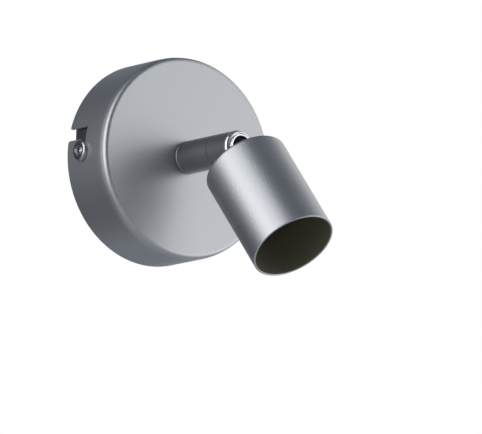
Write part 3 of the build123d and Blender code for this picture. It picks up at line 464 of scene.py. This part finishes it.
thread = []
for turn in range(THREAD_TURNS):
    crest = TAIL + THREAD_START + turn * THREAD_PITCH
    thread += [(TAIL_R, crest), (TAIL_R - THREAD_DEPTH, crest + THREAD_PITCH / 2)]
stem = turned(
    "stem_tube",
    [
        (TAIL_BORE, TAIL),
        (TAIL_R - TAIL_CHAMFER, TAIL),
        *thread,
        (TAIL_R, TAIL + THREAD_END),
        (TAIL_R, CANOPY_DEPTH),
        *((STEM_R - inwards, CANOPY_DEPTH + height) for inwards, height in FOOT),
        (STEM_R, SEAM - LOWER_SEAM_RISE),
        (STEM_R - SEAM_CHAMFER, SEAM),
        (JOURNAL_R, SEAM),
        (JOURNAL_R, CLIP_GROOVE),
        (CLIP_GROOVE_R, CLIP_GROOVE),
        (CLIP_GROOVE_R, CLIP_GROOVE + CLIP),
        (JOURNAL_R, CLIP_GROOVE + CLIP),
        (JOURNAL_R, JOURNAL_END),
        (JOURNAL_BORE, JOURNAL_END),
        (JOURNAL_BORE, SEAM - BORE_STEP_END),
        (TAIL_BORE, SEAM - BORE_STEP_START),
    ],
    WALL_FRAME,
    segments=128,
)
# The stem's lacquer is the canopy's made darker, painted shade for the stem's dim look.
stem_shaded_lacquer = metallic_lacquer("stem_shaded_lacquer", roughness=0.36, shade=0.7)
paint(stem, stem_shaded_lacquer)
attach(stem, "base")
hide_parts("stem_body")


# ---------------------------------------------------------------- swivel sleeve
# The upper stem section: a turned sleeve that runs on the journal, slotted below for the neck.
# A snap ring, a conical spring and a nylon seat sit inside it, and the spring steel is left bare.

def spring_steel():
    finish = Finish("spring_steel", (0.3, 0.31, 0.33), roughness=0.4, metallic=1.0)
    scale = finish.noise(per_metre=800, detail=4)
    finish.mottle(scale, (0.2, 0.21, 0.23), (0.4, 0.41, 0.43))
    finish.bumps(scale, height=5e-6)
    return finish.material


def neck_slot():
    """The milled slot, with a round inner end about the ball, that runs out through the rim."""
    outline = [*arc((0, 0), SLOT_R, 90, 270, steps=24), (SLOT_RUN, -SLOT_R), (SLOT_RUN, SLOT_R)]
    return prism("slot_tool", outline, axes(BALL_PLACE, DOWNWARD, OUTWARD), low=0, high=SLOT_RUN)


head_tilt = next(joint for joint in frame["joints"] if joint["name"] == "head_tilt")
BALL_PLACE = Vector(head_tilt["pos_m"])
BALL_DEPTH = -BALL_PLACE.y / MM
TILT_AXIS = Vector(head_tilt["axis"])
OUTWARD = Vector((0, -1, 0))
DOWNWARD = TILT_AXIS.cross(OUTWARD)
RIM, CAP_RING, SLEEVE_BORE = 59.5, 1.3, 5.6
SEAM_GAP, UPPER_SEAM_RISE, RUNNING_GAP = 0.15, 0.15, 0.05
CLIP_ROOM_R, CLIP_ROOM_LOW, CLIP_ROOM_HIGH = 5.1, 48.5, 49.6
NECK_R, NECK_GAP, SLOT_RUN = 2.9, 0.3, 9.0
SLOT_R = NECK_R + NECK_GAP

sleeve_start = SEAM + SEAM_GAP
sleeve_end = RIM - CAP_RING
sleeve = turned(
    "sleeve_tube",
    [
        (JOURNAL_R + RUNNING_GAP, sleeve_start),
        (STEM_R - SEAM_CHAMFER, sleeve_start),
        (STEM_R, sleeve_start + UPPER_SEAM_RISE),
        (STEM_R, sleeve_end),
        (SLEEVE_BORE, sleeve_end),
        (SLEEVE_BORE, CLIP_ROOM_HIGH),
        (CLIP_ROOM_R, CLIP_ROOM_HIGH),
        (CLIP_ROOM_R, CLIP_ROOM_LOW),
        (JOURNAL_R + RUNNING_GAP, CLIP_ROOM_LOW),
    ],
    WALL_FRAME,
    segments=128,
)
cut(sleeve, neck_slot())
ease(sleeve, width=0.08)
# The sleeve takes the same darkened lacquer, the same painted shade.
paint(sleeve, stem_shaded_lacquer)
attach(sleeve, "swivel")
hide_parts("swivel_sleeve")
dress(spring_steel(), "pan_clip", "seat_spring")


# ---------------------------------------------------------------- joint cap
# A turned brass cap, polished and chromium-plated, screwed into the sleeve over the ball.
# From the front, a rounded flange, a narrow groove and a flat ring about a round hole show.

def chrome_plate():
    finish = Finish("chrome_plate", (0.7, 0.71, 0.73), roughness=0.08, metallic=1.0)
    finish.vary_roughness(finish.noise(per_metre=350, detail=3), middle=0.08, swing=0.08)
    return finish.material


BALL_R, BALL_GAP = 5.1, 0.05
HOLE_R, CAP_FOOT = 3.9, 0.4
# The hole's eased edge: how far out from the hole, and how far from the flat ring.
HOLE_EDGE = ((0, -0.4), (0.2, -0.08), (0.5, 0))
FLAT_OUT, FLAT_R, FLAT_ROUND = 4.25, 4.65, 0.2
CAP_GROOVE_IN_R, CAP_GROOVE_OUT_R, CAP_GROOVE_DEPTH = 4.9, 5.2, 0.5
CREST_R, CREST_RISE, FLANGE_ROUND, FLANGE_CHAMFER = 5.4, 0.2, 1.0, 0.05

seat_r = BALL_R + BALL_GAP
seat_start = degrees(asin(CAP_FOOT / seat_r))
seat_end = degrees(acos(HOLE_R / seat_r))
front = BALL_DEPTH + FLAT_OUT
cap = turned(
    "cap_ring",
    [
        *((HOLE_R + outwards, front + rise) for outwards, rise in HOLE_EDGE),
        *arc((FLAT_R, front - FLAT_ROUND), FLAT_ROUND, 90, 0, steps=4),
        (CAP_GROOVE_IN_R, RIM - CAP_GROOVE_DEPTH),
        (CAP_GROOVE_OUT_R, RIM - CAP_GROOVE_DEPTH),
        (CREST_R, RIM + CREST_RISE),
        *arc((STEM_R - FLANGE_ROUND, RIM - FLANGE_ROUND), FLANGE_ROUND, 60, 0, steps=12),
        (STEM_R, sleeve_end + FLANGE_CHAMFER),
        (STEM_R - FLANGE_CHAMFER, sleeve_end),
        (SLEEVE_BORE, sleeve_end),
        (SLEEVE_BORE, BALL_DEPTH + CAP_FOOT),
        *arc((0, BALL_DEPTH), seat_r, seat_start, seat_end, steps=12),
    ],
    WALL_FRAME,
    segments=160,
)
cut(cap, neck_slot())
ease(cap, width=0.05)
paint(cap, chrome_plate())
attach(cap, "swivel")
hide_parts("joint_cap")


# ---------------------------------------------------------------- ball and neck
# A turned steel ball with a threaded neck, blackened and oiled. A pie-shaped slot passes the leads.
# The collar on the neck carries the head.

def black_oxide():
    finish = Finish("black_oxide", (0.012, 0.012, 0.014), roughness=0.28, metallic=0.6)
    film = finish.noise(per_metre=900, detail=3)
    finish.mottle(film, (0.008, 0.008, 0.01), (0.022, 0.022, 0.025))
    finish.vary_roughness(film, middle=0.3, swing=0.2)
    return finish.material


pin_hole = next(mount for mount in frame["record"]["mounts"] if mount["name"] == "lamp_pin_right")
HEAD_AXIS = Vector(pin_hole["axis"]).normalized()
HEAD_FRAME = axes(BALL_PLACE, HEAD_AXIS, TILT_AXIS)
HEAD_REAR, COLLAR_R, COLLAR, COLLAR_CHAMFER = 8.8, 4.6, 1.2, 0.2
BALL_START = -86
NECK_END, NECK_CHAMFER, NECK_BORE, BORE_SIDES = 14.0, 0.4, 1.9, 48
SLOT_REACH = 7

collar_start = HEAD_REAR - COLLAR
neck_root = degrees(acos(NECK_R / BALL_R))
ball = turned(
    "ball_and_neck",
    [
        (0, -BALL_R),
        *arc((0, 0), BALL_R, BALL_START, neck_root, steps=48),
        (NECK_R, collar_start),
        (COLLAR_R - COLLAR_CHAMFER, collar_start),
        (COLLAR_R, collar_start + COLLAR_CHAMFER),
        (COLLAR_R, HEAD_REAR),
        (NECK_R, HEAD_REAR),
        (NECK_R, NECK_END - NECK_CHAMFER),
        (NECK_R - NECK_CHAMFER, NECK_END),
        (0, NECK_END),
    ],
    HEAD_FRAME,
    segments=96,
)
bore_outline = arc((0, 0), NECK_BORE, 0, 360 - 360 / BORE_SIDES, steps=BORE_SIDES - 1)
bore_tool = prism("bore_tool", bore_outline, HEAD_FRAME, low=0, high=NECK_END + 1)
pie_outline = [
    (-NECK_BORE, -SLOT_REACH),
    (SLOT_REACH, -SLOT_REACH),
    (SLOT_REACH, NECK_BORE),
    (-NECK_BORE, NECK_BORE),
]
pie_frame = axes(BALL_PLACE, -TILT_AXIS, TILT_AXIS.cross(HEAD_AXIS))
pie_tool = prism("pie_tool", pie_outline, pie_frame, low=-NECK_BORE, high=NECK_BORE)
cut(ball, bore_tool, pie_tool)
paint(ball, black_oxide())
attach(ball, "head")
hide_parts("joint_ball")


# ---------------------------------------------------------------- head tube
# Drawn steel: a plain tube with a closed end whose edge is rounded, open at the mouth.
# It is lacquered outside like the canopy, and sprayed matt black inside to stop glare.

def glare_black():
    finish = Finish("glare_black", (0.13, 0.125, 0.085), roughness=0.5)
    spray = finish.noise(per_metre=1400, detail=3)
    finish.mottle(spray, (0.11, 0.105, 0.067), (0.16, 0.154, 0.1))
    finish.bumps(spray, height=1.5e-5)
    return finish.material


HEAD_R, HEAD_LENGTH, HEAD_SHEET, HEAD_EDGE, LIP_ROUND = 16.9, 43.6, 0.8, 1.5, 0.25
NECK_HOLE_R, REAR_RING_R = NECK_R + 0.1, 10
SPRAY_STOP, SPRAY_MARGIN = 0.2, 0.05

mouth = HEAD_REAR + HEAD_LENGTH
inside_r = HEAD_R - HEAD_SHEET
inside_rear = HEAD_REAR + HEAD_SHEET
inside_edge = HEAD_EDGE - HEAD_SHEET
head = turned(
    "head_shell",
    [
        (NECK_HOLE_R, HEAD_REAR),
        (REAR_RING_R, HEAD_REAR),
        *arc((HEAD_R - HEAD_EDGE, HEAD_REAR + HEAD_EDGE), HEAD_EDGE, -90, 0),
        *arc((HEAD_R - LIP_ROUND, mouth - LIP_ROUND), LIP_ROUND, 0, 90, steps=4),
        *arc((inside_r + LIP_ROUND, mouth - LIP_ROUND), LIP_ROUND, 90, 180, steps=4),
        *arc((inside_r - inside_edge, inside_rear + inside_edge), inside_edge, 0, -90, steps=6),
        (NECK_HOLE_R, inside_rear),
    ],
    HEAD_FRAME,
    segments=256,
)
paint(head, metallic_lacquer("head_lacquer", roughness=0.41, grain_height=5.5e-5))
head.data.materials.append(glare_black())
to_head = HEAD_FRAME.inverted()
for face in head.data.polygons:
    spot = to_head @ face.center / MM
    within = hypot(spot.x, spot.y) < inside_r + SPRAY_MARGIN
    if within and HEAD_REAR + HEAD_SHEET / 2 < spot.z < mouth - SPRAY_STOP:
        face.material_index = 1
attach(head, "head")
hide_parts("head_tube")


# ---------------------------------------------------------------- lampholder and its strap
# A pressed and fired ceramic body on a plated steel strap, which the neck's nut clamps in the head.
# Its two leads are sleeved in braided glass fibre.

def fired_ceramic():
    finish = Finish("fired_ceramic", (0.6, 0.57, 0.5), roughness=0.55)
    finish.mottle(finish.noise(per_metre=600, detail=5), (0.52, 0.49, 0.42), (0.68, 0.65, 0.58))
    finish.bumps(finish.noise(per_metre=1600, detail=3), height=2e-5)
    return finish.material


def glass_braid():
    finish = Finish("glass_braid", (0.7, 0.68, 0.62), roughness=0.8)
    strands = finish.node("TexWave", {}, Vector=finish.place(), Scale=900.0, Distortion=3.0, output=1)
    finish.mottle(strands, (0.5, 0.48, 0.43), (0.78, 0.76, 0.7))
    finish.bumps(strands, height=6e-5)
    return finish.material


dress(fired_ceramic(), "lampholder")
dress(zinc, "holder_strap", "strap_screws", "neck_washer", "neck_nut")
dress(glass_braid(), "head_live_lead", "head_neutral_lead")


# ---------------------------------------------------------------- camera
# Far away with a long lens, from the left and slightly below, and rolled a little.
# The origin lies to the left of the middle of the view and above it, by distances in millimetres.

def direction(azimuth, elevation):
    """A unit vector towards an azimuth, where 0 is straight out of the wall and 90 is +X, in degrees."""
    a, e = radians(azimuth), radians(elevation)
    return Vector((sin(a) * cos(e), -cos(a) * cos(e), sin(e)))


VIEW_AZIMUTH, VIEW_ELEVATION, VIEW_ROLL = -35.865, -9.537, 1.309
VIEW_DISTANCE, ORIGIN_LEFT, ORIGIN_ABOVE = 3533.5, 35.484, 20.126
LENS, SENSOR = 670.6, 36

back = direction(VIEW_AZIMUTH, VIEW_ELEVATION)
level = Vector((cos(radians(VIEW_AZIMUTH)), sin(radians(VIEW_AZIMUTH)), 0))
upright = back.cross(level)
roll = radians(VIEW_ROLL)
right = level * cos(roll) + upright * sin(roll)
up = upright * cos(roll) - level * sin(roll)
stand = (back * VIEW_DISTANCE + right * ORIGIN_LEFT - up * ORIGIN_ABOVE) * MM

camera = bpy.data.objects.new("camera", bpy.data.cameras.new("camera"))
bpy.context.scene.collection.objects.link(camera)
camera.matrix_world = Matrix.Translation(stand) @ Matrix((right, up, back)).transposed().to_4x4()
camera.data.lens = LENS
camera.data.sensor_width = SENSOR
camera.data.clip_start = 0.1
camera.data.clip_end = 20
bpy.context.scene.camera = camera


# ---------------------------------------------------------------- studio
# A pale floor, soft boxes to the left and right, and a white surround that the metal shows as well.
# Flags of black cloth that glow dimly, a painted glow standing in for lit grey cards, are hidden from the camera
# and stand behind, above and in front, for the metal's dark bands.

MIDDLE = Vector((0, -0.04, -0.01))
BOX_DISTANCE = 0.9
FLAG_THICKNESS, FLOOR_THICKNESS = 4, 10
FLOOR_DROP, FLOOR_SIDE = 3800, 19000


def face_middle(thing, azimuth, elevation, distance):
    """Puts a thing in a direction from the light, turned to face it."""
    towards = direction(azimuth, elevation)
    thing.location = MIDDLE + towards * distance
    thing.rotation_mode = "QUATERNION"
    thing.rotation_quaternion = towards.to_track_quat("Z", "Y")


def soft_box(name, azimuth, elevation, size, power):
    """A lamp with a soft front, with its size in metres and its power in watts."""
    lamp = bpy.data.lights.new(name, "AREA")
    lamp.shape = "RECTANGLE"
    lamp.size, lamp.size_y = size
    lamp.energy = power
    box = bpy.data.objects.new(name, lamp)
    bpy.context.scene.collection.objects.link(box)
    face_middle(box, azimuth, elevation, BOX_DISTANCE)


def rectangle(width, height):
    w, h = width / 2, height / 2
    return [(-w, -h), (w, -h), (w, h), (-w, h)]


def flag(name, azimuth, elevation, size, distance, shade):
    """A black cloth card that glows dimly, painted light standing in for a lit grey card, with its size in metres;
    it sets what the metal shows of its direction.
    """
    width, height = size
    card = prism(name, rectangle(width / MM, height / MM), Matrix(), low=0, high=FLAG_THICKNESS)
    face_middle(card, azimuth, elevation, distance)
    card.visible_camera = False
    glowing_cloth = Finish(name, (0.02, 0.02, 0.02), roughness=0.9, specular=0.1)
    glowing_cloth.mottle(glowing_cloth.noise(per_metre=40), (0.016, 0.016, 0.016), (0.026, 0.026, 0.026))
    # The cloth's glow, set by shade, is painted light: a black card made to read as a lit grey one.
    glowing_cloth.fix("Emission Color", (0.85, 0.96, 1.17, 1))
    glowing_cloth.fix("Emission Strength", shade)
    paint(card, glowing_cloth.material)


def pale_floor():
    finish = Finish("pale_floor", (0.8, 0.8, 0.8), roughness=0.7)
    finish.mottle(finish.noise(per_metre=4), (0.77, 0.77, 0.77), (0.82, 0.82, 0.82))
    return finish.material


# Each flag's shade is the strength of its painted glow.
flag("back_left_flag", -160, 8, size=(1.6, 2.4), distance=1.0, shade=0.09)
flag("back_right_flag", 166, 8, size=(1.1, 2.4), distance=1.1, shade=0.26)
flag("top_flag", -124, 82, size=(2.1, 2.1), distance=1.0, shade=0.16)
flag("camera_flag", -18, 20, size=(1.7, 1.9), distance=1.3, shade=0.14)
soft_box("left_box", -86, 23, size=(0.95, 1.4), power=6.1)
soft_box("right_box", 56, -10, size=(0.9, 0.9), power=2.2)

floor_frame = axes((0, 0, -FLOOR_DROP * MM), (0, 0, 1), (1, 0, 0))
floor = prism("floor", rectangle(FLOOR_SIDE, FLOOR_SIDE), floor_frame, low=-FLOOR_THICKNESS, high=0)
paint(floor, pale_floor())

world = bpy.data.worlds.new("surround")
bpy.context.scene.world = world
world.use_nodes = True
surround = Graph(world.node_tree)
surround.tree.nodes.remove(surround.tree.nodes["Background"])
ambient = surround.node("Background", {}, Color=(0.95, 0.97, 1.0, 1), Strength=0.6)
white = surround.node("Background", {}, Color=(1, 1, 1, 1), Strength=1.0)
seen = surround.node("LightPath", {}, output="Is Camera Ray")
for kind in ("Is Glossy Ray", "Is Transmission Ray"):
    ray = surround.node("LightPath", {}, output=kind)
    seen = surround.node("Math", {"operation": "MAXIMUM"}, seen, ray)
blend = surround.node("MixShader", {}, seen, ambient, white)
surround.tree.links.new(blend.socket, surround.tree.nodes["World Output"].inputs["Surface"])
bpy.context.scene.view_settings.view_transform = "Standard"
